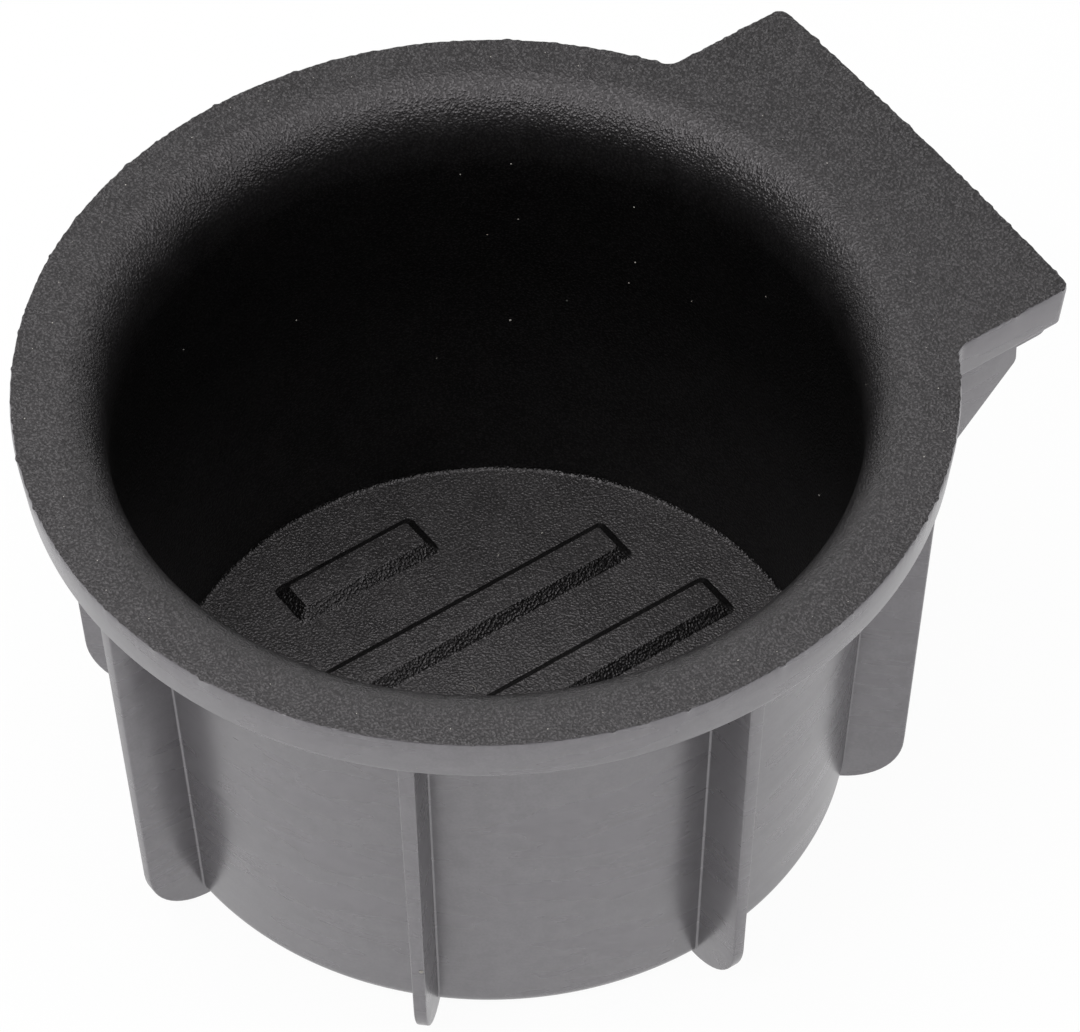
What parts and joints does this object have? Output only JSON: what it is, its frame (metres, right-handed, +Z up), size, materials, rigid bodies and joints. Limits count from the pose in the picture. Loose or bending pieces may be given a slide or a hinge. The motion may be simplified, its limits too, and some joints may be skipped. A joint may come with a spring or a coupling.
{
  "type": "car cup holder",
  "caption": "One-piece rubber cup holder insert with a rounded lip and flange, outer ribs, a pull tab and raised bars on its floor.",
  "frame": {"origin": "centre of the base, on the cup's axis", "axes": "+Z up along the cup's axis, +X towards the pull tab"},
  "size_m": [0.1126, 0.104, 0.06],
  "materials": {
    "rubber": "fine leather grain inside and on top, satin outside"
  },
  "bodies": {
    "root": {"cup_holder": "rubber"}
  },
  "joints": []
}
